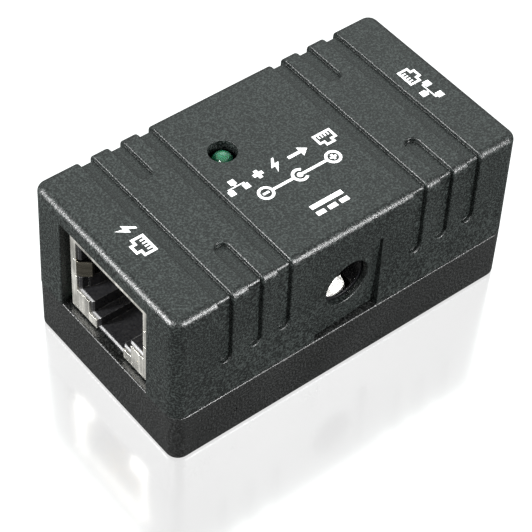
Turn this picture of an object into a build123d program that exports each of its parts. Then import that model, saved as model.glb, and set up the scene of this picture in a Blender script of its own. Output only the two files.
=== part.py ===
"""A passive power-over-network injector box: two snap-together shells round one circuit board
that carries two shielded eight-way jacks, a barrel power jack and an indicator lamp.

Millimetres. X runs along the box from the powered jack (-X) to the plain jack (+X), the
barrel jack is on the -Y side, and Z is up from the underside of the box."""
import os
from math import atan, degrees
from build123d import *

os.makedirs("parts", exist_ok=True)

# ---- box ----
box_length = 55.0
box_width = 30.0
box_height = 25.6
seam_height = 8.1
wall = 1.6
corner_radius = 1.8
top_edge_radius = 1.1
bottom_edge_radius = 0.5
wall_lean = 0.22          # how far each upper wall leans in between the seam and the top
end_step = 0.15           # how far the lower shell sits inside the upper one at each end
side_step = 0.12          # and how far it stands out from it along each side
seam_round = 0.15         # rounding of the upper shell's outer edge at the seam
lower_seam_round = 0.2    # and of the lower shell's

# ---- finger grooves over the top and down both long sides ----
groove_places = (-19.7, -15.15, -10.75, 10.75, 15.15, 19.7)
short_grooves = (-15.15, 15.15)   # these stop short of the middle of the top
groove_width = 2.1
groove_depth = 0.6
groove_foot = 14.2
short_groove_reach = 6.9
groove_lip = 0.2

# ---- circuit board ----
board_length = 50.6
board_width = 23.6
board_thickness = 1.6
board_top = 8.5
board_bottom = board_top - board_thickness
lead_end = board_bottom - 1.0

# ---- eight-way jacks (described at the -X end, then turned round for the +X end) ----
jack_face = -26.35
jack_length = 18.0
jack_width = 16.3
jack_height = 13.3
sheet = 0.25
jack_back = jack_face + jack_length
jack_top = board_top + jack_height
case_front = jack_face + sheet
port_half_width = 8.95
port_top = 23.1
plug_half_width = 5.95
plug_floor = board_top + 3.9
plug_roof = plug_floor + 6.8
plug_stop = case_front + 11.9
latch_half_width = 3.9
latch_floor = board_top + 1.95
tongue_half_width = 2.5
tongue_floor = board_top + 0.55
face_half_width = 7.05
face_steps = ((face_half_width, board_top + 3.6), (4.45, board_top + 1.5), (2.85, board_top - 1.0))
face_top = jack_top - 1.1
comb_half_width = 4.5
comb_roof = jack_top - 0.9
insert_front = plug_stop + 0.8
insert_half_width = 6.2
insert_top = jack_top - 0.8

mouth_bevel = 0.25
mouth_half_width = 6.5      # the mouth's sides draw in from here to the plug's own width
mouth_draw_in = 2.6
mouth_recess = 1.2          # the roof starts this far behind the mouth
leg_place = -17.8
leg_width = 1.5
case_peg_place = -20.8
case_peg_spread = 5.7
case_peg_radius = 1.55

# ---- spring contacts ----
contact_count = 8
contact_pitch = 1.02
wire_radius = 0.18
wire_height = jack_top - 1.5
bend_start = -24.0
bend_radius = 0.45
arm_slope = 30.0
arm_length = 8.4
root_gap = 0.06
tail_rows = (-12.2, -9.66)
tail_bend = 0.8

# ---- shield ground springs ----
spring_low = board_top + 6.3
spring_high = board_top + 8.9
spring_sheet = 0.2

# ---- barrel jack ----
dc_x = -0.25
dc_width = 9.0
dc_height = 11.2
dc_front = -13.3
dc_length = 14.0
dc_axis = board_top + 6.8
dc_bore = 6.3
dc_bore_depth = 9.6
dc_hole = 6.95
pin_diameter = 2.0
lug_sheet = 0.35
leaf_sheet = 0.3
leaf_width = 3.5
leaf_corner = 0.9
leaf_root_y = -3.4
leaf_crest_y = -10.9
leaf_crest_z = dc_axis - dc_bore / 2 + 0.6
leaf_tip_y = -12.8
leaf_tip_z = leaf_crest_z - 1.25
spring_slot_front = dc_front + 0.25
switch_y = -8.6
pocket_half_width = 5.2
pocket_top = 20.6
pocket_head = 14.6        # distance of the pocket floor from the middle, at its top
pocket_foot = 14.2        # and at the seam
pocket_gap = 0.45         # height of the slot under the pocket's floor
pocket_skew = 2.6         # degrees the pocket floor turns about Z, deeper towards +X

# ---- lamp ----
lamp_x = -5.1
lamp_y = 5.15
lamp_diameter = 3.0
lamp_flange = 3.8
lamp_tip = box_height - 0.35
lamp_height = 5.3
lamp_hole = 3.9
lead_pitch = 2.54
lead_side = 0.5

resistor_y = 9.4

# ---- snap hooks ----
hook_places = (-15.0, 15.0)
hook_width = 6.0
hook_inner = 12.2
hook_outer = 13.3
hook_tip = 13.8
hook_top = 12.4

# ---- closing the shells ----
rebate = 0.75
tongue_height = 0.9
rib_place = 24.4
peg_radius = 0.9
mark_x = -18.0
mark_z = 3.8

half_length = box_length / 2
half_width = box_width / 2
inner_length = box_length - 2 * wall
inner_width = box_width - 2 * wall
roof = box_height - wall
upper_height = box_height - seam_height
upper_width = box_width - 2 * side_step
draft_angle = degrees(atan(wall_lean / upper_height))
post_places = [(x, y) for x in (-22.5, 22.5) for y in (-10.1, 10.1)]
contact_rows = [(i - (contact_count - 1) / 2) * contact_pitch for i in range(contact_count)]


def save(piece, name):
    """Label a finished piece and write it."""
    piece.label = name
    export_step(piece, f"parts/{name}.step")


def save_both_jacks(piece, name):
    """Write a jack piece for the -X end and, turned half a turn about Z, for the +X end."""
    save(piece, f"poe_{name}")
    save(piece.rotate(Axis.Z, 180), f"lan_{name}")


def section_plane(y):
    """The upright lengthwise plane at this Y, with local x along X and local y along Z."""
    return Plane((0, y, 0), x_dir=(1, 0, 0), z_dir=(0, -1, 0))


# ======== housing ========

# The plain outer block of the upper shell, before anything is cut from it.
with BuildPart() as block:
    with BuildSketch(Plane.XY.offset(seam_height)):
        RectangleRounded(box_length, upper_width, corner_radius)
    extrude(amount=upper_height, taper=draft_angle)
    fillet(block.edges().group_by(Axis.Z)[-1], top_edge_radius)
    fillet(block.edges().group_by(Axis.Z)[0], seam_round)

# The same block, smaller all round by the depth of a groove.
with BuildPart() as core:
    with BuildSketch(Plane.XY.offset(seam_height)):
        RectangleRounded(box_length - 2 * groove_depth, upper_width - 2 * groove_depth,
                         corner_radius - groove_depth)
    extrude(amount=upper_height - groove_depth, taper=draft_angle)
    fillet(core.edges().group_by(Axis.Z)[-1], top_edge_radius - groove_depth)

# What the grooves take away: a round-footed band at each place, down to the core.
foot_centre = groove_foot + groove_width / 2
short_centre = short_groove_reach + groove_width / 2
with BuildPart() as groove_cutter:
    for place in groove_places:
        with BuildSketch(section_plane(0)):
            with Locations((place, foot_centre)):
                Circle(groove_width / 2)
            with Locations((place, foot_centre + box_height / 2)):
                Rectangle(groove_width, box_height)
        extrude(amount=box_width, both=True)
    for place in short_grooves:
        with BuildSketch(Plane.XY):
            with Locations((place, 0)):
                Rectangle(groove_width + 1, 2 * short_centre)
            with Locations((place, -short_centre), (place, short_centre)):
                Circle(groove_width / 2, mode=Mode.SUBTRACT)
        extrude(amount=2 * box_height, mode=Mode.SUBTRACT)
    add(core.part, mode=Mode.SUBTRACT)


# What the flat pocket round the barrel jack takes away: deepest at the seam and towards +X.
with BuildPart() as pocket_outline:
    with Locations((dc_x, -half_width, seam_height)):
        Box(2 * pocket_half_width, wall * 2, pocket_top - seam_height,
            align=(Align.CENTER, Align.CENTER, Align.MIN))
with BuildPart() as pocket_cutter:
    with BuildSketch(Plane.YZ.offset(dc_x)):
        with BuildLine():
            Polyline((-half_width - 2, seam_height - 1), (-pocket_foot, seam_height - 1),
                     (-pocket_foot, seam_height), (-pocket_head, pocket_top),
                     (-pocket_head, pocket_top + 1), (-half_width - 2, pocket_top + 1), close=True)
        make_face()
    extrude(amount=box_width / 2, both=True)
    wedge = pocket_cutter.part.rotate(Axis((dc_x, -pocket_foot, 0), (0, 0, 1)), pocket_skew)
    add(wedge & pocket_outline.part, mode=Mode.REPLACE)


def on_block(edge):
    """True where an edge lies on the outside of the plain block."""
    return min(face.distance_to(edge @ 0.5) for face in block.faces()) < 1e-4


def beside_groove(edge):
    """True where an edge lies inside one of the groove bands."""
    return any(abs((edge @ 0.5).X - place) < groove_width / 2 + 0.01 for place in groove_places)


def on_socket_rim(edge):
    """True for the outer rim of the round hole in front of the barrel jack."""
    middle = edge @ 0.5
    off_axis = ((middle.X - dc_x) ** 2 + (middle.Z - dc_axis) ** 2) ** 0.5
    return abs(off_axis - dc_hole / 2) < 0.02 and middle.Y < -inner_width / 2 - 0.2


def on_port_rim(edge):
    """True for the outer upright edges of the two jack ports."""
    middle = edge @ 0.5
    at_side = abs(abs(middle.Y) - port_half_width) < 0.01
    return at_side and abs(middle.X) > half_length - wall_lean - 0.05 and middle.Z < port_top - 1


with BuildPart() as top_shell:
    add(block.part)
    add(groove_cutter.part, mode=Mode.SUBTRACT)
    lips = top_shell.edges().filter_by(beside_groove).filter_by(on_block)
    fillet(lips, groove_lip)
    # hollow inside, open at the seam
    with BuildSketch(Plane.XY.offset(seam_height)):
        RectangleRounded(inner_length, inner_width, corner_radius - wall + 0.6)
    extrude(amount=roof - seam_height, mode=Mode.SUBTRACT)
    # rebate for the lower shell's tongue, left solid behind the barrel jack's pocket
    with BuildSketch(Plane.XY.offset(seam_height)):
        RectangleRounded(inner_length + 2 * rebate, inner_width + 2 * rebate, corner_radius - wall + 1.2)
        with Locations((dc_x, -half_width)):
            Rectangle(2 * pocket_half_width + 0.8, box_width / 2, mode=Mode.SUBTRACT)
    extrude(amount=tongue_height + 0.1, mode=Mode.SUBTRACT)
    # jack ports, open at the seam
    with BuildSketch(Plane.XY.offset(seam_height)):
        with Locations((-half_length, 0), (half_length, 0)):
            Rectangle(4 * wall, 2 * port_half_width)
    extrude(amount=port_top - seam_height, mode=Mode.SUBTRACT)
    # flat pocket round the barrel jack, with a hole through its floor
    add(pocket_cutter.part, mode=Mode.SUBTRACT)
    with BuildSketch(section_plane(-half_width)):
        with Locations((dc_x, dc_axis)):
            Circle(dc_hole / 2)
    extrude(amount=-2.2 * wall, mode=Mode.SUBTRACT)
    # lamp hole
    with BuildSketch(Plane.XY.offset(box_height)):
        with Locations((lamp_x, lamp_y)):
            Circle(lamp_hole / 2)
    extrude(amount=-2 * wall, mode=Mode.SUBTRACT)
    # recesses that the snap hooks catch in
    with BuildSketch(Plane.XY.offset(hook_top - 1.7)):
        with GridLocations(hook_places[1] - hook_places[0], 2 * (hook_tip + 0.1 - 0.5), 2, 2):
            Rectangle(hook_width + 0.6, 1.0)
    extrude(amount=1.9, mode=Mode.SUBTRACT)
    # ribs that hold the board down at its corners
    with BuildSketch(Plane.XY.offset(board_top + 0.05)):
        with GridLocations(2 * rib_place, 2 * (inner_width / 2 - 1.1), 2, 2):
            Rectangle(1.2, 2.3)
    extrude(amount=roof - board_top)
    fillet(top_shell.edges().filter_by(on_port_rim), 0.2)
    fillet(top_shell.edges().filter_by(on_socket_rim), 0.15)
    # slot between the pocket's floor and the lower shell
    with Locations((dc_x, -half_width, seam_height)):
        Box(2 * pocket_half_width, 2 * wall + 0.2, pocket_gap,
            align=(Align.CENTER, Align.CENTER, Align.MIN), mode=Mode.SUBTRACT)
save(top_shell.part, "top_shell")

with BuildPart() as bottom_shell:
    with BuildSketch():
        RectangleRounded(box_length - 2 * end_step, box_width, corner_radius)
    extrude(amount=seam_height)
    fillet(bottom_shell.edges().group_by(Axis.Z)[0], bottom_edge_radius)
    fillet(bottom_shell.edges().group_by(Axis.Z)[-1], lower_seam_round)
    with BuildSketch(Plane.XY.offset(wall)):
        RectangleRounded(inner_length, inner_width, corner_radius - wall + 0.6)
    extrude(amount=seam_height - wall, mode=Mode.SUBTRACT)
    # tongue that fits the upper shell's rebate, left out at the ports, barrel jack and ribs
    with BuildSketch(Plane.XY.offset(seam_height)):
        RectangleRounded(inner_length + 2 * rebate - 0.2, inner_width + 2 * rebate - 0.2,
                         corner_radius - wall + 1.1)
        RectangleRounded(inner_length, inner_width, corner_radius - wall + 0.6, mode=Mode.SUBTRACT)
        Rectangle(2 * box_length, 2 * port_half_width + 0.4, mode=Mode.SUBTRACT)
        with Locations((dc_x, -half_width)):
            Rectangle(2 * pocket_half_width + 1, box_width / 2, mode=Mode.SUBTRACT)
        with Locations((-rib_place, 0), (rib_place, 0)):
            Rectangle(1.6, box_width, mode=Mode.SUBTRACT)
    extrude(amount=tongue_height)
    # posts under the board, two of them with a peg through it
    with BuildSketch(Plane.XY.offset(wall)):
        with Locations(*post_places):
            Circle(1.7)
    extrude(amount=board_bottom - wall)
    with BuildSketch(Plane.XY.offset(board_bottom)):
        with Locations(post_places[0], post_places[-1]):
            Circle(peg_radius)
    extrude(amount=board_thickness + 0.4)
    # snap hooks: a springy leg with a barb near its top
    for side in (-1, 1):
        with BuildSketch(Plane.YZ.offset(0)) as hook_section:
            with BuildLine():
                Polyline((side * hook_inner, wall), (side * (inner_width / 2 + 0.2), wall),
                         (side * (inner_width / 2 + 0.2), seam_height - 0.3),
                         (side * hook_outer, seam_height - 0.3),
                         (side * hook_outer, hook_top - 1.5), (side * hook_tip, hook_top - 1.5),
                         (side * hook_outer, hook_top), (side * hook_inner, hook_top), close=True)
            make_face()
        for place in hook_places:
            extrude(hook_section.sketch.moved(Location((place, 0, 0))), amount=hook_width / 2, both=True)
    # small witness mark of an ejector pin on the front wall
    with BuildSketch(section_plane(-half_width)):
        with Locations((mark_x, mark_z)):
            Circle(0.35)
            Circle(0.2, mode=Mode.SUBTRACT)
    extrude(amount=-0.15, mode=Mode.SUBTRACT)
save(bottom_shell.part, "bottom_shell")

# ======== eight-way jack ========

tail_ends = [(tail_rows[i % 2], y) for i, y in enumerate(contact_rows)]
shield_legs = [(leg_place, side * (jack_width / 2 - sheet / 2)) for side in (-1, 1)]
case_pegs = [(case_peg_place, side * case_peg_spread) for side in (-1, 1)]

with BuildPart() as jack_shield:
    with Locations(((jack_face + jack_back) / 2, 0, board_top)):
        Box(jack_length, jack_width, jack_height, align=(Align.CENTER, Align.CENTER, Align.MIN))
        Box(jack_length - 2 * sheet, jack_width - 2 * sheet, jack_height - sheet,
            align=(Align.CENTER, Align.CENTER, Align.MIN), mode=Mode.SUBTRACT)
    fillet(jack_shield.edges().filter_by(Axis.X).group_by(Axis.Z)[-1], 0.4)
    # stepped mouth in the front sheet
    with BuildSketch(Plane.YZ.offset(jack_face - 1)):
        for reach, low in face_steps:
            with Locations((0, (low + face_top) / 2)):
                Rectangle(2 * reach, face_top - low)
        # relief slits above and below each ground spring
        for slit in (spring_low - 0.15, spring_high + 0.15):
            with Locations((0, slit)):
                Rectangle(2 * face_half_width + 0.9, 0.2)
    extrude(amount=1 + 2 * sheet, mode=Mode.SUBTRACT)
    # open back below the wires
    with BuildSketch(Plane.YZ.offset(jack_back + 1)):
        with Locations((0, board_top + 2)):
            Rectangle(2 * insert_half_width, 4)
    extrude(amount=-2, mode=Mode.SUBTRACT)
    # legs through the board
    with BuildSketch(Plane.XY.offset(lead_end + 0.2)):
        with Locations(*shield_legs):
            Rectangle(leg_width, sheet)
    extrude(amount=board_top - lead_end + 0.3)
save_both_jacks(jack_shield.part, "jack_shield")


def wire_path(y, row):
    """Builds the fixed run of one contact wire: back along the top, then down through the board."""
    run = Line((bend_start + root_gap, wire_height), (row - tail_bend, wire_height))
    bend = CenterArc((row - tail_bend, wire_height - tail_bend), tail_bend, 90, -90)
    Line(bend @ 1, (row, lead_end))
    return run


def wires(radius):
    """The fixed runs of all eight contact wires, with this radius."""
    with BuildPart() as runs:
        for row, y in tail_ends:
            with BuildLine(section_plane(y)):
                wire_path(y, row)
            with BuildSketch(Plane((bend_start + root_gap, y, wire_height), z_dir=(1, 0, 0))):
                Circle(radius)
            sweep()
    return runs.part


save_both_jacks(wires(wire_radius), "contact_tails")
wire_channels = wires(wire_radius + 0.03)

with BuildPart() as jack_case:
    with Locations(((case_front + jack_back - sheet - 0.02) / 2, 0, board_top)):
        Box(jack_length - 2 * sheet - 0.02, jack_width - 2 * sheet - 0.04, jack_height - sheet - 0.02,
            align=(Align.CENTER, Align.CENTER, Align.MIN))
    fillet(jack_case.edges().filter_by(Axis.X).group_by(Axis.Z)[-1], 0.3)
    # plug cavity with its two latch steps, and the comb window over it
    with BuildSketch(Plane.YZ.offset(case_front)):
        for reach, low, high in ((plug_half_width, plug_floor, plug_roof),
                                 (latch_half_width, latch_floor, plug_roof),
                                 (tongue_half_width, tongue_floor, plug_roof),
                                 (comb_half_width, plug_floor, comb_roof)):
            with Locations((0, (low + high) / 2)):
                Rectangle(2 * reach, high - low)
    extrude(amount=plug_stop - case_front, mode=Mode.SUBTRACT)
    # lead-in at the mouth: sides that draw in, and a roof that starts further back
    with BuildSketch(Plane.XY.offset(plug_floor)):
        with BuildLine():
            Polyline((case_front - 1, -mouth_half_width), (case_front, -mouth_half_width),
                     (case_front + mouth_draw_in, -plug_half_width),
                     (case_front + mouth_draw_in, plug_half_width), (case_front, mouth_half_width),
                     (case_front - 1, mouth_half_width), close=True)
        make_face()
    extrude(amount=plug_roof - plug_floor, mode=Mode.SUBTRACT)
    with BuildSketch(Plane.YZ.offset(case_front)):
        with Locations((0, (plug_floor + face_top) / 2)):
            Rectangle(2 * mouth_half_width, face_top - plug_floor)
    extrude(amount=mouth_recess, mode=Mode.SUBTRACT)
    mouth = jack_case.edges().group_by(Axis.X)[0].filter_by(
        lambda e: abs((e @ 0.5).Y) < mouth_half_width + 0.1 and board_top + 0.5 < (e @ 0.5).Z < face_top - 0.1)
    chamfer(mouth, mouth_bevel)
    # pockets in the side walls for the ground springs to press back into
    with BuildSketch(Plane.XY.offset(spring_low - 0.3)):
        for side in (-1, 1):
            with Locations((case_front + 2.2, side * (plug_half_width + 0.55))):
                Rectangle(4.4, 1.5)
    extrude(amount=spring_high - spring_low + 0.6, mode=Mode.SUBTRACT)
    # room for the contact insert at the back, and slots for the wires to reach it
    with BuildSketch(Plane.YZ.offset(jack_back)):
        with Locations((0, (board_top + insert_top) / 2)):
            Rectangle(2 * insert_half_width + 0.1, insert_top - board_top + 0.1)
    extrude(amount=-(jack_back - insert_front + 0.05), mode=Mode.SUBTRACT)
    with BuildSketch(Plane.YZ.offset(insert_front)):
        with Locations(*[(y, (wire_height + comb_roof) / 2) for y in contact_rows]):
            Rectangle(2 * wire_radius + 0.2, comb_roof - wire_height + 2 * wire_radius + 0.2)
    extrude(amount=-1.5, mode=Mode.SUBTRACT)
    # pegs into the board
    with BuildSketch(Plane.XY.offset(board_bottom + 0.2)):
        with Locations(*case_pegs):
            Circle(case_peg_radius)
    extrude(amount=board_top - board_bottom - 0.2)
save_both_jacks(jack_case.part, "jack_case")

with BuildPart() as jack_insert:
    with Locations(((insert_front + jack_back - sheet - 0.1) / 2, 0, board_top + 0.02)):
        Box(jack_back - sheet - 0.1 - insert_front, 2 * insert_half_width, insert_top - board_top - 0.04,
            align=(Align.CENTER, Align.CENTER, Align.MIN))
    chamfer(jack_insert.edges().filter_by(Axis.Y).group_by(Axis.Z)[-1], 0.3)
    add(wire_channels, mode=Mode.SUBTRACT)
save_both_jacks(jack_insert.part, "jack_insert")

for number, y in enumerate(contact_rows, start=1):
    with BuildPart() as contact:
        with BuildLine(section_plane(y)):
            start = Line((bend_start, wire_height), (bend_start - 0.4, wire_height))
            bend = CenterArc((bend_start - 0.4, wire_height - bend_radius), bend_radius, 90, 180 - arm_slope)
            PolarLine(bend @ 1, arm_length, direction=bend % 1)
        with BuildSketch(Plane((bend_start, y, wire_height), z_dir=(-1, 0, 0))):
            Circle(wire_radius)
        sweep()
    save_both_jacks(contact.part, f"contact_{number}")

for side, name in ((1, "left"), (-1, "right")):
    with BuildPart() as ground_spring:
        with BuildSketch(Plane.XY.offset(spring_low)):
            with BuildLine():
                root = Vector(jack_face + 0.12, side * (face_half_width - 0.05))
                Polyline(root, root + Vector(0.25, -side * 0.4), root + Vector(1.35, -side * 1.3),
                         root + Vector(1.75, -side * 1.2))
            trace(line_width=spring_sheet)
        extrude(amount=spring_high - spring_low)
    save_both_jacks(ground_spring.part, f"ground_spring_{name}")

# ======== barrel jack ========

dc_bottom = board_top
dc_back = dc_front + dc_length
bore_end = dc_front + dc_bore_depth

with BuildPart() as dc_case:
    with Locations((dc_x, dc_front, dc_bottom)):
        Box(dc_width, dc_length, dc_height, align=(Align.CENTER, Align.MIN, Align.MIN))
    fillet(dc_case.edges().filter_by(Axis.Y).group_by(Axis.Z)[-1], 1.2)
    with BuildSketch(section_plane(dc_front)):
        with Locations((dc_x, dc_axis)):
            Circle(dc_bore / 2)
    extrude(amount=-dc_bore_depth, mode=Mode.SUBTRACT)
    bore_rim = dc_case.edges().filter_by(GeomType.CIRCLE).sort_by(Axis.Y)[0]
    chamfer(bore_rim, 0.25)
    # through hole for the centre pin
    with BuildSketch(section_plane(bore_end)):
        with Locations((dc_x, dc_axis)):
            Circle(pin_diameter / 2 + 0.02)
    extrude(amount=-dc_length, mode=Mode.SUBTRACT)
    # slot under the bore for the sleeve spring, and side slot for the switch terminal
    with Locations((dc_x, spring_slot_front, dc_bottom)):
        Box(leaf_width + 0.8, dc_back - 2.0 - spring_slot_front, dc_axis - dc_bottom - 1.2,
            align=(Align.CENTER, Align.MIN, Align.MIN), mode=Mode.SUBTRACT)
    with Locations((dc_x - dc_width / 2, switch_y, dc_bottom)):
        Box(1.0, 2.8, dc_height - 3.2, align=(Align.MIN, Align.CENTER, Align.MIN), mode=Mode.SUBTRACT)
save(dc_case.part, "dc_jack_case")

with BuildPart() as centre_pin:
    with BuildSketch(section_plane(dc_front + 0.9)):
        with Locations((dc_x, dc_axis)):
            Circle(pin_diameter / 2)
    extrude(amount=-(dc_length - 0.9 + 0.35))
    fillet(centre_pin.edges().sort_by(Axis.Y)[0], 0.7)
save(centre_pin.part, "dc_centre_pin")

# lug riveted to the back of the pin
with BuildPart() as pin_terminal:
    with BuildSketch(section_plane(dc_back + 0.02)):
        with Locations((dc_x, (dc_axis + 1.6 + lead_end) / 2)):
            Rectangle(2.4, dc_axis + 1.6 - lead_end)
        with Locations((dc_x, dc_axis)):
            Circle(pin_diameter / 2 + 0.01, mode=Mode.SUBTRACT)
    extrude(amount=-lug_sheet)
save(pin_terminal.part, "dc_pin_terminal")

# sleeve contact: a fixed root and lug at the back, and the leaf that a plug presses down
leaf_pivot_z = dc_axis - dc_bore / 2 - 0.9
with BuildPart() as sleeve_terminal:
    with BuildSketch(Plane.YZ.offset(dc_x - leaf_width / 2)):
        with BuildLine():
            Polyline((leaf_root_y + root_gap, leaf_pivot_z), (leaf_root_y + 1.2, leaf_pivot_z),
                     (leaf_root_y + 1.2, lead_end))
        trace(line_width=leaf_sheet)
    extrude(amount=leaf_width)
save(sleeve_terminal.part, "dc_sleeve_terminal")

with BuildPart() as sleeve_spring:
    with BuildSketch(Plane.YZ.offset(dc_x - leaf_width / 2)):
        with BuildLine():
            Polyline((leaf_root_y, leaf_pivot_z), (leaf_root_y - 1.0, leaf_pivot_z),
                     (leaf_crest_y, leaf_crest_z), (leaf_crest_y - 0.3, leaf_crest_z - 0.05),
                     (leaf_tip_y, leaf_tip_z))
        trace(line_width=leaf_sheet)
    extrude(amount=leaf_width)
    # round the free end's corners
    with BuildSketch(Plane.XY.offset(dc_bottom)):
        with Locations((dc_x, leaf_tip_y)):
            RectangleRounded(leaf_width, 2 * (leaf_root_y + 1 - leaf_tip_y), leaf_corner,
                             align=(Align.CENTER, Align.MIN))
    extrude(amount=dc_height, mode=Mode.INTERSECT)
save(sleeve_spring.part, "dc_sleeve_spring")

with BuildPart() as switch_terminal:
    with Locations((dc_x - dc_width / 2 + 0.4, switch_y, lead_end)):
        Box(lug_sheet, 2.4, dc_bottom + dc_height - 3.4 - lead_end,
            align=(Align.CENTER, Align.CENTER, Align.MIN))
save(switch_terminal.part, "dc_switch_terminal")

# ======== lamp and its resistor ========

lamp_base = lamp_tip - lamp_height
lamp_leads = [(lamp_x + side * lead_pitch / 2, lamp_y) for side in (-1, 1)]

with BuildPart() as lamp_lens:
    with BuildSketch(section_plane(lamp_y)):
        with BuildLine():
            dome_base = lamp_tip - lamp_diameter / 2
            Polyline((lamp_x, dome_base + lamp_diameter / 2), (lamp_x, lamp_base),
                     (lamp_x + lamp_flange / 2, lamp_base), (lamp_x + lamp_flange / 2, lamp_base + 1.0),
                     (lamp_x + lamp_diameter / 2, lamp_base + 1.0), (lamp_x + lamp_diameter / 2, dome_base))
            CenterArc((lamp_x, dome_base), lamp_diameter / 2, 0, 90)
        make_face()
    revolve(axis=Axis((lamp_x, lamp_y, 0), (0, 0, 1)))
    with BuildSketch(Plane.XY.offset(lamp_base)):
        with Locations(*lamp_leads):
            Rectangle(lead_side + 0.04, lead_side + 0.04)
    extrude(amount=0.5, mode=Mode.SUBTRACT)
    with Locations((lamp_x, lamp_y, lamp_base + 0.5)):
        Box(3.16, 0.7, 2.6, align=(Align.CENTER, Align.CENTER, Align.MIN), mode=Mode.SUBTRACT)
save(lamp_lens.part, "lamp_lens")

# the anode post and the cathode anvil stand inside the lens on top of their leads
with BuildPart() as anode_lead:
    with Locations((*lamp_leads[0], lead_end)):
        Box(lead_side, lead_side, lamp_base + 0.52 - lead_end, align=(Align.CENTER, Align.CENTER, Align.MIN))
    with Locations((lamp_leads[0][0] + 0.1, lamp_y, lamp_base + 0.52)):
        Box(0.7, 0.4, 2.0, align=(Align.CENTER, Align.CENTER, Align.MIN))
save(anode_lead.part, "lamp_anode_lead")

with BuildPart() as cathode_lead:
    with Locations((*lamp_leads[1], lead_end)):
        Box(lead_side, lead_side, lamp_base + 0.52 - lead_end, align=(Align.CENTER, Align.CENTER, Align.MIN))
    with Locations((lamp_leads[1][0] - 0.45, lamp_y, lamp_base + 0.52)):
        Box(1.4, 0.5, 1.9, align=(Align.CENTER, Align.CENTER, Align.MIN))
    with Locations((lamp_x + 0.45, lamp_y, lamp_base + 0.52 + 1.9)):
        Cone(0.24, 0.1, 0.2, align=(Align.CENTER, Align.CENTER, Align.MAX), mode=Mode.SUBTRACT)
save(cathode_lead.part, "lamp_cathode_lead")

with BuildPart() as chip:
    with Locations((lamp_x + 0.45, lamp_y, lamp_base + 0.52 + 1.9)):
        Box(0.25, 0.25, 0.12, align=(Align.CENTER, Align.CENTER, Align.MIN))
save(chip.part, "lamp_chip")

with BuildPart() as resistor:
    with Locations((lamp_x, resistor_y, board_top + 0.04)):
        Box(2.3, 1.5, 0.5, align=(Align.CENTER, Align.CENTER, Align.MIN))
save(resistor.part, "resistor_body")

with BuildPart() as resistor_caps:
    with Locations(*[(lamp_x + side * 1.4, resistor_y, board_top + 0.01) for side in (-1, 1)]):
        Box(0.46, 1.56, 0.58, align=(Align.CENTER, Align.CENTER, Align.MIN))
    fillet(resistor_caps.edges().filter_by(Axis.Y), 0.08)
save(resistor_caps.part, "resistor_end_caps")

# ======== circuit board and solder ========

dc_lugs = {
    "pin": (dc_x, dc_back + 0.02 + lug_sheet / 2, 2.4, lug_sheet),
    "sleeve": (dc_x, leaf_root_y + 1.2, leaf_width, leaf_sheet),
    "switch": (dc_x - dc_width / 2 + 0.4, switch_y, lug_sheet, 2.4),
}

with BuildPart() as circuit_board:
    with BuildSketch(Plane.XY.offset(board_bottom)):
        RectangleRounded(board_length, board_width, 0.8)
        with Locations(post_places[0], post_places[-1]):
            Circle(peg_radius + 0.08, mode=Mode.SUBTRACT)
        for turn in (1, -1):
            with Locations(*[(turn * x, turn * y) for x, y in tail_ends]):
                Circle(wire_radius + 0.12, mode=Mode.SUBTRACT)
            with Locations(*[(turn * x, turn * y) for x, y in shield_legs]):
                SlotOverall(leg_width + 0.7, 0.8, mode=Mode.SUBTRACT)
            with Locations(*[(turn * x, turn * y) for x, y in case_pegs]):
                Circle(case_peg_radius + 0.06, mode=Mode.SUBTRACT)
        with Locations(*lamp_leads):
            Circle(0.45, mode=Mode.SUBTRACT)
        for x, y, long_side, short_side in dc_lugs.values():
            with Locations((x, y)):
                Rectangle(long_side + 0.4, short_side + 0.4, mode=Mode.SUBTRACT)
    extrude(amount=board_thickness)
save(circuit_board.part, "circuit_board")

# round solder cones under the board, each with the bore its wire or lead fills
for turn, name in ((1, "poe"), (-1, "lan")):
    with BuildPart() as wire_solder:
        for x, y in tail_ends:
            with Locations((turn * x, turn * y, board_bottom)):
                Cone(0.22, 0.46, 0.8, align=(Align.CENTER, Align.CENTER, Align.MAX))
                Cylinder(wire_radius + 0.01, 3, mode=Mode.SUBTRACT)
        for x, y in shield_legs:
            with BuildSketch(Plane.XY.offset(board_bottom)):
                with Locations((turn * x, turn * y)):
                    SlotOverall(leg_width + 1.1, 1.3)
            extrude(amount=-0.5, taper=25)
            with Locations((turn * x, turn * y, board_bottom)):
                Box(leg_width + 0.02, sheet + 0.02, 3, mode=Mode.SUBTRACT)
    save(wire_solder.part, f"{name}_solder_joints")

with BuildPart() as dc_solder:
    for x, y, long_side, short_side in dc_lugs.values():
        with BuildSketch(Plane.XY.offset(board_bottom)):
            with Locations((x, y)):
                Rectangle(long_side + 1.0, short_side + 1.0)
        extrude(amount=-0.7, taper=25)
        with Locations((x, y, board_bottom)):
            Box(long_side + 0.02, short_side + 0.02, 3, mode=Mode.SUBTRACT)
save(dc_solder.part, "dc_solder_joints")

with BuildPart() as lamp_solder:
    for x, y in lamp_leads:
        with Locations((x, y, board_bottom)):
            Cone(0.4, 0.85, 0.8, align=(Align.CENTER, Align.CENTER, Align.MAX))
            Box(lead_side + 0.02, lead_side + 0.02, 3, mode=Mode.SUBTRACT)
save(lamp_solder.part, "lamp_solder_joints")
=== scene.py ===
import math
import bmesh
import bpy
from mathutils import Matrix, Vector


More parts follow.
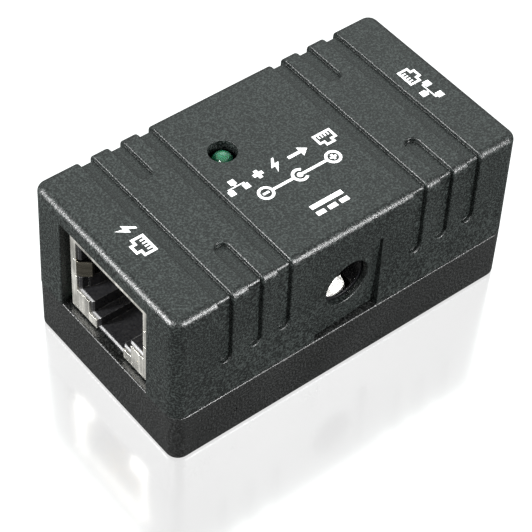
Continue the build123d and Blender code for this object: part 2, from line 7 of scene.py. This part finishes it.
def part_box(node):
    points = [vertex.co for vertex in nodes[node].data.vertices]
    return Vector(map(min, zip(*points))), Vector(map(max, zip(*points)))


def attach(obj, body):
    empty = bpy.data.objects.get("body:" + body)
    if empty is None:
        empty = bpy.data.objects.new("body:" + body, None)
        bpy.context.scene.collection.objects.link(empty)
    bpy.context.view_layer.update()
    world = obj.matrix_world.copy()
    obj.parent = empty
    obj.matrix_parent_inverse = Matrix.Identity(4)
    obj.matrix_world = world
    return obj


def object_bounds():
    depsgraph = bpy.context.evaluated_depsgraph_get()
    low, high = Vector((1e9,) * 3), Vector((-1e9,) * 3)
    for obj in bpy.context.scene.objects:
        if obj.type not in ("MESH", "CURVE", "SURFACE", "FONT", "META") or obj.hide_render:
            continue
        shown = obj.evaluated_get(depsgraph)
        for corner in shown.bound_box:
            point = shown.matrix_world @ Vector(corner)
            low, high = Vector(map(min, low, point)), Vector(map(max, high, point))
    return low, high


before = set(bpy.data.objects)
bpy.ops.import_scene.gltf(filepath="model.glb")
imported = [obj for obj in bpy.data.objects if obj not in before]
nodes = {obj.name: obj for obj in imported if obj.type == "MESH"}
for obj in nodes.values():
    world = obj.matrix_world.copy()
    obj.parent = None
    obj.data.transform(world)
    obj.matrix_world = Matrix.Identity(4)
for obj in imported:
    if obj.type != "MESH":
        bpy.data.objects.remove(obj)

cad_low, cad_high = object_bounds()
MM = 0.001

# ---------------------------------------------------------------- camera

CAMERA_AZIMUTH = -40.936     # degrees, 0 looks along +Y
CAMERA_ELEVATION = 47.879
CAMERA_ROLL = 3.386
CAMERA_DISTANCE = 263.14 * MM
CAMERA_TARGET = Vector((-2.763, -1.703, 8.794)) * MM
CAMERA_LENS = 137.08         # on a 36 mm sensor

azimuth = math.radians(CAMERA_AZIMUTH)
elevation = math.radians(CAMERA_ELEVATION)
camera_back = Vector((math.sin(azimuth) * math.cos(elevation),
                      -math.cos(azimuth) * math.cos(elevation),
                      math.sin(elevation)))
camera_data = bpy.data.cameras.new("camera")
camera_data.lens = CAMERA_LENS
camera_data.sensor_width = 36.0
camera_data.clip_start = 0.01
camera_data.clip_end = 10.0
camera = bpy.data.objects.new("camera", camera_data)
bpy.context.scene.collection.objects.link(camera)
camera.location = CAMERA_TARGET + camera_back * CAMERA_DISTANCE
camera.rotation_mode = "QUATERNION"
turn = (-camera_back).to_track_quat("-Z", "Y")
roll = Matrix.Rotation(math.radians(CAMERA_ROLL), 4, "Z").to_quaternion()
camera.rotation_quaternion = turn @ roll
bpy.context.scene.camera = camera

# ---------------------------------------------------------------- stage and light


def area_light(name, place, aim, size, power, size_y=None, colour=(1, 1, 1)):
    """A soft rectangular light at place, turned to face aim."""
    data = bpy.data.lights.new(name, "AREA")
    data.shape = "RECTANGLE"
    data.size = size
    data.size_y = size_y or size
    data.energy = power
    data.color = colour
    lamp = bpy.data.objects.new(name, data)
    bpy.context.scene.collection.objects.link(lamp)
    lamp.location = Vector(place)
    lamp.rotation_mode = "QUATERNION"
    lamp.rotation_quaternion = (Vector(aim) - Vector(place)).to_track_quat("-Z", "Y")
    return lamp


centre = (cad_low + cad_high) / 2


def softbox(name, direction, distance, width, height, radiance, colour=(1, 1, 1)):
    """An area light this far from the middle of the box along direction, as bright as radiance."""
    place = centre + Vector(direction).normalized() * distance
    return area_light(name, place, centre, width, math.pi * width * height * radiance, height, colour)


# Each softbox stands where one kind of surface mirrors it towards the camera: the top face, the
# rounded front and left edges of the top, and the lamp's dome.
softbox("top_softbox", (0.44, 0.51, 0.74), 0.45, 0.34, 0.30, 1.12, (0.88, 1.0, 0.96))
softbox("front_edge_strip", (0.30, -0.86, 0.42), 0.45, 0.08, 0.22, 85.0)
softbox("left_edge_strip", (-0.86, 0.34, 0.38), 0.45, 0.08, 0.20, 110.0)
softbox("lamp_glint", (-0.71, -0.19, 0.675), 0.45, 0.10, 0.10, 25.0)

world = bpy.data.worlds.new("studio")
world.use_nodes = True
world.node_tree.nodes["Background"].inputs["Color"].default_value = (1, 1, 1, 1)
world.node_tree.nodes["Background"].inputs["Strength"].default_value = 0.68
bpy.context.scene.world = world
bpy.context.scene.view_settings.view_transform = "Standard"

FLOOR_REACH = 3.0            # metres from the middle to each edge
FLOOR_DROP = 0.05 * MM       # keeps the floor clear of the box's flat underside
floor_mesh = bpy.data.meshes.new("floor")
floor_mesh.from_pydata([(x * FLOOR_REACH, y * FLOOR_REACH, 0)
                        for x, y in ((-1, -1), (1, -1), (1, 1), (-1, 1))], [], [(0, 1, 2, 3)])
floor = bpy.data.objects.new("floor", floor_mesh)
floor.location.z = -FLOOR_DROP
bpy.context.scene.collection.objects.link(floor)
floor_material = bpy.data.materials.new("floor")
floor_material.use_nodes = True
floor_tree = floor_material.node_tree
floor_shader = floor_tree.nodes["Principled BSDF"]
for socket, value in (("Base Color", (0.32, 0.32, 0.32, 1)), ("Metallic", 1.0), ("Roughness", 0.16),
                      ("Emission Color", (1, 1, 1, 1)), ("Emission Strength", 0.76)):
    floor_shader.inputs[socket].default_value = value
# The floor looks white, but throws back only a little light, as a cut-out product picture has it.
dim = floor_tree.nodes.new("ShaderNodeBsdfDiffuse")
dim.inputs["Color"].default_value = (0.09, 0.09, 0.09, 1)
seen = floor_tree.nodes.new("ShaderNodeLightPath")
either = floor_tree.nodes.new("ShaderNodeMixShader")
floor_tree.links.new(seen.outputs["Is Camera Ray"], either.inputs[0])
floor_tree.links.new(dim.outputs[0], either.inputs[1])
floor_tree.links.new(floor_shader.outputs[0], either.inputs[2])
floor_tree.links.new(either.outputs[0], floor_tree.nodes["Material Output"].inputs["Surface"])
floor_mesh.materials.append(floor_material)

# ---------------------------------------------------------------- material helpers


def add(tree, kind, inputs=None, **settings):
    """One new node, with its settings, and its inputs given as values or as sockets to link from."""
    node = tree.nodes.new(kind)
    for key, value in settings.items():
        setattr(node, key, value)
    for key, value in (inputs or {}).items():
        if isinstance(value, bpy.types.NodeSocket):
            tree.links.new(value, node.inputs[key])
        else:
            node.inputs[key].default_value = value
    return node


def in_millimetres(tree, stretch=(1, 1, 1)):
    """The object's own coordinates in millimetres, optionally stretched along each axis."""
    place = add(tree, "ShaderNodeTexCoord")
    scale = [1000 * s for s in stretch]
    return add(tree, "ShaderNodeMapping", {"Vector": place.outputs["Object"], "Scale": scale}).outputs[0]


def noise(tree, where, scale, detail=3.0, rough=0.55):
    """Noise from 0 to 1 with this many cells per millimetre."""
    made = add(tree, "ShaderNodeTexNoise",
               {"Vector": where, "Scale": scale, "Detail": detail, "Roughness": rough})
    return made.outputs["Fac"]


def remap(tree, value, low, high, to_low=0.0, to_high=1.0, smooth=False):
    """Value carried from low..high to to_low..to_high, and held there outside."""
    made = add(tree, "ShaderNodeMapRange", {"Value": value, "From Min": low, "From Max": high,
                                            "To Min": to_low, "To Max": to_high},
               interpolation_type="SMOOTHSTEP" if smooth else "LINEAR")
    return made.outputs["Result"]


def combine(tree, operation, first, second):
    """Two values put through one Math operation."""
    made = add(tree, "ShaderNodeMath", operation=operation)
    for socket, value in zip(made.inputs, (first, second)):
        if isinstance(value, bpy.types.NodeSocket):
            tree.links.new(value, socket)
        else:
            socket.default_value = value
    return made.outputs[0]


def blend_colour(tree, amount, first, second):
    """A colour between first and second."""
    made = add(tree, "ShaderNodeMix", data_type="RGBA")
    for socket, value in ((made.inputs[0], amount), (made.inputs[6], first), (made.inputs[7], second)):
        if isinstance(value, bpy.types.NodeSocket):
            tree.links.new(value, socket)
        elif isinstance(value, tuple):
            socket.default_value = (*value, 1.0)
        else:
            socket.default_value = value
    return made.outputs[2]


def rounded_normal(tree, radius):
    """The normal with every sharp edge rounded to this radius, in millimetres."""
    return add(tree, "ShaderNodeBevel", {"Radius": radius * MM}, samples=6).outputs["Normal"]


def edge_mask(tree, normal):
    """1 on a rounded edge and 0 on a flat face, from how far the rounded normal has turned."""
    face = add(tree, "ShaderNodeNewGeometry")
    lined_up = add(tree, "ShaderNodeVectorMath", operation="DOT_PRODUCT")
    tree.links.new(normal, lined_up.inputs[0])
    tree.links.new(face.outputs["True Normal"], lined_up.inputs[1])
    return remap(tree, lined_up.outputs["Value"], 0.995, 0.80)


def finish_material(name, dark, light, patch, rough, grain, depth, edge=0.08, edge_wear_and_highlight=None, edge_wear_and_highlight_amount=0.5,
                    stretch=(1, 1, 1), fixed=None, speck=(0.38, 0.62)):
    """A surface with real variation.

    dark and light are its two colours, in patches of this many per millimetre; rough is its
    lowest and highest roughness; grain is the bump's cells per millimetre and depth its height in
    millimetres; edge rounds its edges, and worn is the colour laid in specks along them, as
    strongly as wear: on the pin and the resistor body the material under the surface showing
    through, on the other parts a painted highlight. stretch draws the grain out along an axis,
    fixed holds plain socket values, and speck is where in the noise the dark colour ends and the light one
    is reached.
    """
    made = bpy.data.materials.new(name)
    made.use_nodes = True
    tree = made.node_tree
    shader = tree.nodes["Principled BSDF"]
    for key, value in (fixed or {}).items():
        shader.inputs[key].default_value = value
    where = in_millimetres(tree)
    drawn = in_millimetres(tree, stretch)
    broad = noise(tree, where, patch, 4.0)
    fine = noise(tree, drawn, grain, 2.5, 0.6)
    tone = combine(tree, "ADD", combine(tree, "MULTIPLY", broad, 0.1),
                   combine(tree, "MULTIPLY", fine, 0.9))
    colour = blend_colour(tree, remap(tree, tone, *speck), dark, light)
    normal = rounded_normal(tree, edge)
    # Lighter specks along the rounded edges: a painted highlight on most parts, the material under the
    # surface showing through on the rest.
    if edge_wear_and_highlight:
        speckle = remap(tree, noise(tree, where, grain * 0.8, 2.0), 0.42, 0.62)
        mask = combine(tree, "MULTIPLY", combine(tree, "MULTIPLY", edge_mask(tree, normal), speckle), edge_wear_and_highlight_amount)
        colour = blend_colour(tree, mask, colour, edge_wear_and_highlight)
    tree.links.new(colour, shader.inputs["Base Color"])
    uneven = combine(tree, "ADD", combine(tree, "MULTIPLY", broad, 0.5),
                     combine(tree, "MULTIPLY", noise(tree, drawn, grain * 0.5, 2.0), 0.5))
    tree.links.new(remap(tree, uneven, 0.35, 0.65, *rough), shader.inputs["Roughness"])
    bump = add(tree, "ShaderNodeBump", {"Strength": 1.0, "Distance": depth * MM, "Height": fine,
                                        "Normal": normal})
    tree.links.new(bump.outputs["Normal"], shader.inputs["Normal"])
    return made


def dress(made, *names):
    """Give every slot of these CAD nodes' objects this material."""
    for name in names:
        for slot in nodes[name].material_slots:
            slot.material = made


def named(*endings):
    """The CAD nodes whose names end in one of these."""
    return [name for name in nodes if name.endswith(endings)]


# ---------------------------------------------------------------- materials of the CAD nodes

METAL = {"Metallic": 1.0}

# The housing's light specks are partly the grain of its moulded texture and partly painted glints from it;
# the lighter specks along its edges are a painted highlight.
housing = dict(patch=0.12, rough=(0.27, 0.42), grain=3.8, depth=0.060, edge=0.10,
               edge_wear_and_highlight=(0.06, 0.061, 0.060), edge_wear_and_highlight_amount=0.5, speck=(0.45, 0.68), fixed={"Specular IOR Level": 0.42})
upper_plastic = finish_material("upper_shell_plastic", (0.0012, 0.0020, 0.0018), (0.029, 0.035, 0.033),
                                **housing)
lower_plastic = finish_material("lower_shell_plastic", (0.0012, 0.0014, 0.0013), (0.027, 0.0285, 0.028),
                                **housing)
# The lighter specks along the jack cases' edges are a painted highlight.
jack_plastic = finish_material("jack_plastic", (0.009, 0.009, 0.010), (0.016, 0.016, 0.017), 0.3,
                               (0.24, 0.38), 3.0, 0.006, edge=0.16, edge_wear_and_highlight=(0.16, 0.16, 0.155), edge_wear_and_highlight_amount=0.7)
insert_plastic = finish_material("jack_insert_plastic", (0.012, 0.012, 0.014), (0.022, 0.022, 0.024), 0.3,
                                 (0.38, 0.55), 3.5, 0.008, edge=0.08)
barrel_plastic = finish_material("barrel_jack_plastic", (0.004, 0.004, 0.005), (0.008, 0.008, 0.009), 0.3,
                                 (0.28, 0.42), 3.0, 0.005, edge=0.12, fixed={"Specular IOR Level": 0.3})
# The lighter specks along the tinned sheet's edges are a painted highlight.
tinned = finish_material("tinned_sheet", (0.66, 0.65, 0.60), (0.82, 0.81, 0.76), 0.25, (0.36, 0.54),
                         2.2, 0.006, edge=0.06, edge_wear_and_highlight=(0.82, 0.80, 0.76), stretch=(1, 1, 0.08), fixed=METAL)
# The spring's colours are darkened as painted shade, for the dark things it mirrors, and the lighter specks
# along its edges are a painted highlight.
spring_metal = finish_material("spring_bronze", (0.13, 0.12, 0.095), (0.22, 0.205, 0.165), 0.5, (0.20, 0.34),
                               3.0, 0.005, edge=0.05, edge_wear_and_highlight=(0.80, 0.74, 0.60), stretch=(0.1, 0.1, 1),
                               fixed=METAL)
gold = finish_material("gold_wire", (0.62, 0.44, 0.17), (0.80, 0.60, 0.27), 0.6, (0.16, 0.32), 5.0, 0.003,
                       edge=0.03, stretch=(0.15, 1, 0.15), fixed=METAL)
nickel = finish_material("pin_brass", (0.62, 0.60, 0.56), (0.76, 0.74, 0.70), 0.6, (0.12, 0.26), 4.0, 0.003,
                         edge=0.08, edge_wear_and_highlight=(0.80, 0.70, 0.48), edge_wear_and_highlight_amount=0.3, stretch=(1, 0.1, 1), fixed=METAL)
# The lighter specks along the leaf's edges are a painted highlight.
leaf = finish_material("leaf_metal", (0.70, 0.69, 0.66), (0.84, 0.83, 0.80), 0.6, (0.14, 0.30), 4.0, 0.004,
                       edge=0.06, edge_wear_and_highlight=(0.90, 0.89, 0.86), stretch=(1, 0.12, 1), fixed=METAL)
# The lighter specks along the lugs' edges are a painted highlight.
lug = finish_material("lug_metal", (0.55, 0.53, 0.49), (0.70, 0.68, 0.64), 0.4, (0.28, 0.44), 3.0, 0.006,
                      edge=0.05, edge_wear_and_highlight=(0.78, 0.76, 0.72), stretch=(1, 1, 0.1), fixed=METAL)
lead_metal = finish_material("lamp_lead_metal", (0.56, 0.55, 0.52), (0.70, 0.69, 0.66), 0.5, (0.24, 0.40),
                             3.0, 0.005, edge=0.05, stretch=(1, 1, 0.1), fixed=METAL)
solder_metal = finish_material("solder", (0.50, 0.50, 0.50), (0.68, 0.68, 0.68), 1.2, (0.12, 0.34), 2.4,
                               0.012, edge=0.12, fixed=METAL)
cap_metal = finish_material("resistor_caps", (0.58, 0.57, 0.55), (0.72, 0.71, 0.69), 1.2, (0.22, 0.40), 4.0,
                            0.008, edge=0.05, fixed=METAL)
ceramic = finish_material("resistor_ceramic", (0.020, 0.020, 0.024), (0.035, 0.035, 0.040), 1.0,
                          (0.20, 0.34), 5.0, 0.004, edge=0.05, edge_wear_and_highlight=(0.55, 0.54, 0.50), edge_wear_and_highlight_amount=0.6)
die = finish_material("lamp_chip", (0.36, 0.42, 0.20), (0.52, 0.58, 0.30), 6.0, (0.15, 0.30), 12.0, 0.002,
                      edge=0.02)
lens_look = finish_material("green_lens", (0.006, 0.120, 0.055), (0.010, 0.160, 0.075), 0.3, (0.08, 0.16),
                            1.2, 0.002, edge=0.10,
                            fixed={"Transmission Weight": 0.35, "IOR": 1.53, "Subsurface Weight": 0.5,
                                   "Subsurface Radius": (0.3 * MM, 1.2 * MM, 0.5 * MM),
                                   "Subsurface Scale": 1.0, "Coat Weight": 1.0, "Coat Roughness": 0.10})


def board_material():
    """Green solder mask over woven glass, with the copper tracks showing faintly as ridges."""
    made = bpy.data.materials.new("board_laminate")
    made.use_nodes = True
    tree = made.node_tree
    shader = tree.nodes["Principled BSDF"]
    shader.inputs["Coat Weight"].default_value = 0.35
    shader.inputs["Coat Roughness"].default_value = 0.12
    where = in_millimetres(tree)
    waves = [add(tree, "ShaderNodeTexWave", {"Vector": where, "Scale": 0.55, "Distortion": 0.25,
                                             "Detail": 1.0, "Detail Scale": 2.0},
                 bands_direction=direction).outputs["Fac"] for direction in ("X", "Y")]
    weave = combine(tree, "MULTIPLY", waves[0], waves[1])
    cells = add(tree, "ShaderNodeTexBrick",
                {"Vector": where, "Scale": 0.30, "Mortar Size": 0.055, "Mortar Smooth": 0.1,
                 "Brick Width": 1.4, "Row Height": 0.45}, offset=0.37).outputs["Fac"]
    cloudy = noise(tree, where, 0.25, 4.0)
    mask_green = blend_colour(tree, remap(tree, cloudy, 0.35, 0.65), (0.008, 0.085, 0.032),
                              (0.014, 0.120, 0.046))
    over_copper = blend_colour(tree, combine(tree, "MULTIPLY", cells, 0.75), mask_green,
                               (0.030, 0.200, 0.070))
    tree.links.new(over_copper, shader.inputs["Base Color"])
    tree.links.new(remap(tree, noise(tree, where, 1.4, 3.0), 0.3, 0.7, 0.22, 0.38),
                   shader.inputs["Roughness"])
    height = combine(tree, "ADD", combine(tree, "MULTIPLY", weave, 0.3), cells)
    bump = add(tree, "ShaderNodeBump", {"Strength": 0.8, "Distance": 0.03 * MM, "Height": height,
                                        "Normal": rounded_normal(tree, 0.05)})
    tree.links.new(bump.outputs["Normal"], shader.inputs["Normal"])
    return made


dress(upper_plastic, "top_shell")
dress(lower_plastic, "bottom_shell")
dress(board_material(), "circuit_board")
dress(tinned, *named("jack_shield"))
dress(spring_metal, *named("ground_spring_left", "ground_spring_right"))
dress(jack_plastic, "poe_jack_case", "lan_jack_case")
dress(insert_plastic, *named("jack_insert"))
dress(gold, *[name for name in nodes if "_contact_" in name])
dress(barrel_plastic, "dc_jack_case")
dress(nickel, "dc_centre_pin")
dress(leaf, "dc_sleeve_spring", "dc_sleeve_terminal")
dress(lug, "dc_pin_terminal", "dc_switch_terminal")
dress(lens_look, "lamp_lens")
dress(lead_metal, "lamp_anode_lead", "lamp_cathode_lead")
dress(die, "lamp_chip")
dress(ceramic, "resistor_body")
dress(cap_metal, "resistor_end_caps")
dress(solder_metal, *named("solder_joints"))

# ---------------------------------------------------------------- printed symbols

INK_THICKNESS = 0.012 * MM
INK_ROOT = 0.02 * MM         # how far the ink sinks into the plastic under it
top_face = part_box("top_shell")[1][2]
ink_high = top_face + INK_THICKNESS
ink_low = top_face - INK_ROOT
ink_mesh = bmesh.new()


def slab(outline, place):
    """A thin solid with this flat outline, put on the top of the box by place."""
    flat = [place(*point) for point in outline]
    upper = [ink_mesh.verts.new((x, y, ink_high)) for x, y in flat]
    lower = [ink_mesh.verts.new((x, y, ink_low)) for x, y in flat]
    ink_mesh.faces.new(upper)
    ink_mesh.faces.new(lower[::-1])
    for i, corner in enumerate(upper):
        j = (i + 1) % len(upper)
        ink_mesh.faces.new((corner, lower[i], lower[j], upper[j]))


def band(outer, inner, place):
    """A thin solid between two outlines that have the same number of corners."""
    rings = []
    for outline in (outer, inner):
        flat = [place(*point) for point in outline]
        rings.append([[ink_mesh.verts.new((x, y, level)) for x, y in flat]
                      for level in (ink_high, ink_low)])
    (outer_high, outer_low), (inner_high, inner_low) = rings
    for i in range(len(outer)):
        j = (i + 1) % len(outer)
        for quad in ((outer_high[i], outer_high[j], inner_high[j], inner_high[i]),
                     (outer_low[j], outer_low[i], inner_low[i], inner_low[j]),
                     (outer_high[i], outer_low[i], outer_low[j], outer_high[j]),
                     (inner_high[j], inner_low[j], inner_low[i], inner_high[i])):
            ink_mesh.faces.new(quad)


def rectangle(x, y, width, height):
    """The corners of a rectangle, from its middle and size."""
    return [(x - width / 2, y - height / 2), (x + width / 2, y - height / 2),
            (x + width / 2, y + height / 2), (x - width / 2, y + height / 2)]


def arc(x, y, radius, start=0.0, sweep=360.0, steps=32):
    """Points along an arc, in degrees; a whole circle does not repeat its first point."""
    count = steps if sweep >= 360 else steps + 1
    return [(x + radius * math.cos(math.radians(start + sweep * i / steps)),
             y + radius * math.sin(math.radians(start + sweep * i / steps))) for i in range(count)]


def cross(x, reach, half_stroke):
    """The corners of a plus sign with its middle at (x, 0) and arms this long."""
    a, b = reach, half_stroke
    return [(x + u, v) for u, v in ((-b, a), (-b, b), (-a, b), (-a, -b), (-b, -b), (-b, -a),
                                    (b, -a), (b, -b), (a, -b), (a, b), (b, b), (b, a))]


# Each icon is about 2 mm high round its own middle, before print_icon scales it.

def bolt_icon(place):
    """Power: a lightning bolt."""
    slab([(0.25, 1.0), (-0.62, -0.16), (-0.10, -0.16), (-0.32, -1.0), (0.62, 0.22), (0.08, 0.22),
          (0.52, 1.0)], place)


def network_icon(place):
    """Network: one box over two, joined by lines."""
    box_size = 0.74
    for x, y in ((0, 0.63), (-0.95, -0.63), (0.95, -0.63)):
        slab(rectangle(x, y, box_size, box_size), place)
    slab(rectangle(0, 0.13, 0.26, 0.26), place)
    slab([(-1.08, -0.13), (1.08, -0.13), (1.08, 0.0), (-1.08, 0.0)], place)
    for x in (-0.95, 0.95):
        slab(rectangle(x, -0.195, 0.26, 0.13), place)


def plus_icon(place):
    """A plus sign."""
    slab(cross(0, 0.62, 0.23), place)


def arrow_icon(place):
    """A thick arrow that points along the row."""
    slab([(-1.3, 0.2), (-1.3, -0.2), (0.35, -0.2), (0.35, -0.72), (1.3, 0.0), (0.35, 0.72), (0.35, 0.2)],
         place)


def socket_icon(place):
    """A network port: its stepped opening, latch down, with contacts at the top."""
    outline = [(-1.2, 1.0), (-1.2, -0.5), (-0.62, -0.5), (-0.62, -1.0), (0.62, -1.0), (0.62, -0.5),
               (1.2, -0.5), (1.2, 1.0)]
    inside = [(-0.92, 0.72), (-0.92, -0.22), (-0.34, -0.22), (-0.34, -0.72), (0.34, -0.72), (0.34, -0.22),
              (0.92, -0.22), (0.92, 0.72)]
    band(outline, inside, place)
    for x in (-0.6, -0.2, 0.2, 0.6):
        slab(rectangle(x, 0.47, 0.18, 0.46), place)


def direct_current_icon(place):
    """Direct current: a solid line over a broken one."""
    slab(rectangle(0, 0.55, 4.6, 0.64), place)
    for x in (-1.7, 0.0, 1.7):
        slab(rectangle(x, -0.6, 1.2, 0.64), place)


def polarity_icon(place):
    """Barrel plug polarity: minus on the sleeve, plus on the centre pin."""
    for x in (-5.1, 5.1):
        band(arc(x, 0, 1.08), arc(x, 0, 0.72), place)
    slab(rectangle(-5.1, 0, 0.9, 0.32), place)
    slab(cross(5.1, 0.46, 0.16), place)
    slab(arc(0, 0, 1.08, 45, 270) + arc(0, 0, 0.70, 45, 270)[::-1], place)
    slab(rectangle(-2.55, 0, 2.96, 0.38), place)
    slab(arc(0, 0, 0.38), place)
    slab(rectangle(2.2, 0, 3.6, 0.38), place)


def print_icon(draw, x, y, size, turn):
    """Print an icon with its middle at (x, y) mm, turned by turn degrees, at size times its scale."""
    cosine, sine = math.cos(math.radians(turn)), math.sin(math.radians(turn))

    def place(u, v):
        return ((x + size * (u * cosine - v * sine)) * MM, (y + size * (u * sine + v * cosine)) * MM)
    draw(place)


# powered port, at the -X end, reading towards -Y
print_icon(bolt_icon, -22.7, 1.5, 1.3, -90)
print_icon(socket_icon, -22.7, -1.85, 1.3, -90)
# plain port, at the +X end, reading towards +Y
print_icon(network_icon, 23.2, -1.8, 1.3, 90)
print_icon(socket_icon, 23.2, 1.75, 1.2, 90)
# barrel jack
print_icon(direct_current_icon, 0.05, -9.6, 1.08, 0)
# what the box does: network and power go in, and both come out of one port
for draw, x in ((network_icon, -7.5), (plus_icon, -4.0), (bolt_icon, -1.3), (arrow_icon, 2.3),
                (socket_icon, 6.9)):
    print_icon(draw, x, -0.6, 1.18, 0)
print_icon(polarity_icon, 0.15, -3.75, 1.05, 0)

bmesh.ops.recalc_face_normals(ink_mesh, faces=ink_mesh.faces)
symbols_mesh = bpy.data.meshes.new("printed_symbols")
ink_mesh.to_mesh(symbols_mesh)
ink_mesh.free()
symbols = bpy.data.objects.new("printed_symbols", symbols_mesh)
bpy.context.scene.collection.objects.link(symbols)
symbols_mesh.materials.append(finish_material(
    "white_ink", (0.66, 0.67, 0.67), (0.82, 0.83, 0.83), 0.5, (0.45, 0.62), 4.2, 0.012, edge=0.01))
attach(symbols, "housing_and_board")
